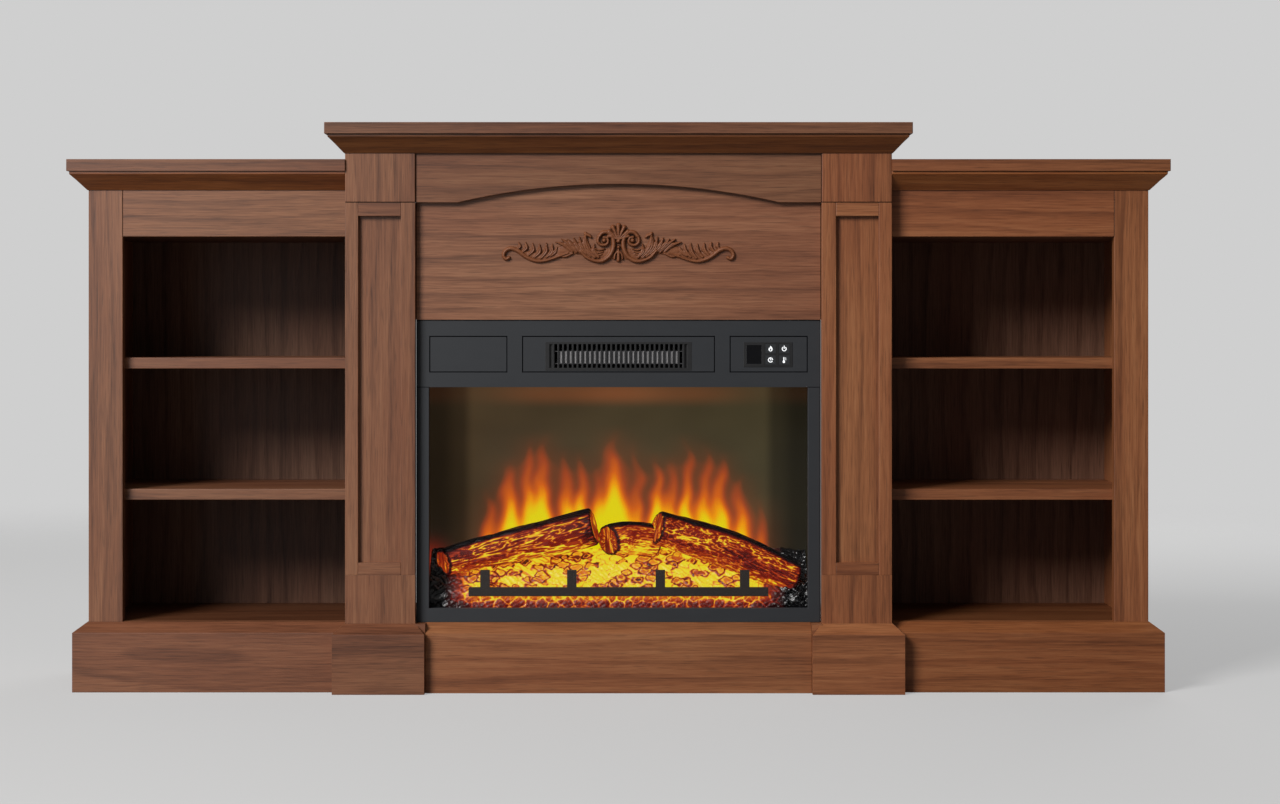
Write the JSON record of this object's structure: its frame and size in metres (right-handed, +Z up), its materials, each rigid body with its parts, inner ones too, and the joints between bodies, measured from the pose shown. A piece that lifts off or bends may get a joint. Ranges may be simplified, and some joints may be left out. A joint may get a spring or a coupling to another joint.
{
  "type": "electric fireplace with bookcase mantel",
  "caption": "Walnut-brown fireplace mantel with an open bookcase on each side, carved centre panel and a black electric log insert.",
  "frame": {"origin": "centre of the footprint, on the floor", "axes": "+X along the front to the viewer's right, +Y from the front to the back, +Z up"},
  "size_m": [1.8, 0.322, 0.928],
  "materials": {
    "walnut_veneer": "satin lacquered walnut-brown wood grain",
    "walnut_carving": "satin stained carving",
    "back_hardboard": "printed walnut-brown hardboard",
    "matt_charcoal_metal": "fine matt charcoal paint",
    "clear_glass": "clear tempered glass",
    "black_plastic": "matt",
    "button_plastic": "matt with white printed symbols",
    "smoked_window": "gloss smoked",
    "smoked_screen": "dark translucent acrylic",
    "circuit_board": "green solder mask",
    "black_sheet_steel": "matt black paint",
    "zinc_steel": "zinc plated",
    "silver_fins": "mill finish",
    "cast_grate": "dark brown-black cast look",
    "log_resin": "painted bark and char",
    "ember_resin": "translucent orange resin with black coals"
  },
  "bodies": {
    "cabinet": {"mantel_top_slab": "walnut_veneer", "mantel_crown": "walnut_veneer", "arch_board": "walnut_veneer", "centre_panel": "walnut_veneer", "carved_applique": "walnut_carving", "centre_plinth": "walnut_veneer", "hearth_board": "walnut_veneer", "left_partition": "walnut_veneer", "left_pilaster": "walnut_veneer", "left_pedestal": "walnut_veneer", "left_wing_top": "walnut_veneer", "left_wing_crown": "walnut_veneer", "left_face_frame": "walnut_veneer", "left_outer_side": "walnut_veneer", "left_wing_floor": "walnut_veneer", "left_lower_shelf": "walnut_veneer", "left_upper_shelf": "walnut_veneer", "left_wing_ceiling": "walnut_veneer", "left_wing_back": "back_hardboard", "left_wing_plinth": "walnut_veneer", "right_partition": "walnut_veneer", "right_pilaster": "walnut_veneer", "right_pedestal": "walnut_veneer", "right_wing_top": "walnut_veneer", "right_wing_crown": "walnut_veneer", "right_face_frame": "walnut_veneer", "right_outer_side": "walnut_veneer", "right_wing_floor": "walnut_veneer", "right_lower_shelf": "walnut_veneer", "right_upper_shelf": "walnut_veneer", "right_wing_ceiling": "walnut_veneer", "right_wing_back": "back_hardboard", "right_wing_plinth": "walnut_veneer", "top_fascia": "matt_charcoal_metal", "lower_trim_frame": "matt_charcoal_metal", "glass_front": "clear_glass", "vent_grille": "black_plastic", "control_panel": "black_plastic", "display_window": "smoked_window", "control_board": "circuit_board", "firebox_casing": "black_sheet_steel", "fixing_screws": "zinc_steel", "cord_gland": "black_plastic", "flame_screen": "smoked_screen", "spindle_motor": "zinc_steel", "led_strips": "circuit_board", "ember_bed": "ember_resin", "grate": "cast_grate", "left_log": "log_resin", "right_log": "log_resin", "middle_log": "log_resin", "blower_housing": "zinc_steel", "blower_motor": "zinc_steel", "heating_element": "silver_fins"},
    "flame_rotor": {"flame_spindle": "silver_fins"},
    "blower_rotor": {"blower_impeller": "black_plastic"},
    "flame_key": {"flame_button": "button_plastic"},
    "power_key": {"power_button": "button_plastic"},
    "timer_key": {"timer_button": "button_plastic"},
    "heat_key": {"heat_button": "button_plastic"}
  },
  "joints": [
    {"name": "flame_spindle_spin", "type": "hinge", "parent": "cabinet", "child": "flame_rotor", "pos_m": [0, 0.036, 0.146], "axis": [1, 0, 0], "continuous": true},
    {"name": "blower_impeller_spin", "type": "hinge", "parent": "cabinet", "child": "blower_rotor", "pos_m": [0, -0.026, 0.556], "axis": [1, 0, 0], "continuous": true},
    {"name": "flame_key_press", "type": "slide", "parent": "cabinet", "child": "flame_key", "axis": [0, 1, 0], "range_m": [0, 0.001], "stiffness_N_per_m": 300, "springref_m": -0.002},
    {"name": "power_key_press", "type": "slide", "parent": "cabinet", "child": "power_key", "axis": [0, 1, 0], "range_m": [0, 0.001], "stiffness_N_per_m": 300, "springref_m": -0.002},
    {"name": "timer_key_press", "type": "slide", "parent": "cabinet", "child": "timer_key", "axis": [0, 1, 0], "range_m": [0, 0.001], "stiffness_N_per_m": 300, "springref_m": -0.002},
    {"name": "heat_key_press", "type": "slide", "parent": "cabinet", "child": "heat_key", "axis": [0, 1, 0], "range_m": [0, 0.001], "stiffness_N_per_m": 300, "springref_m": -0.002}
  ]
}
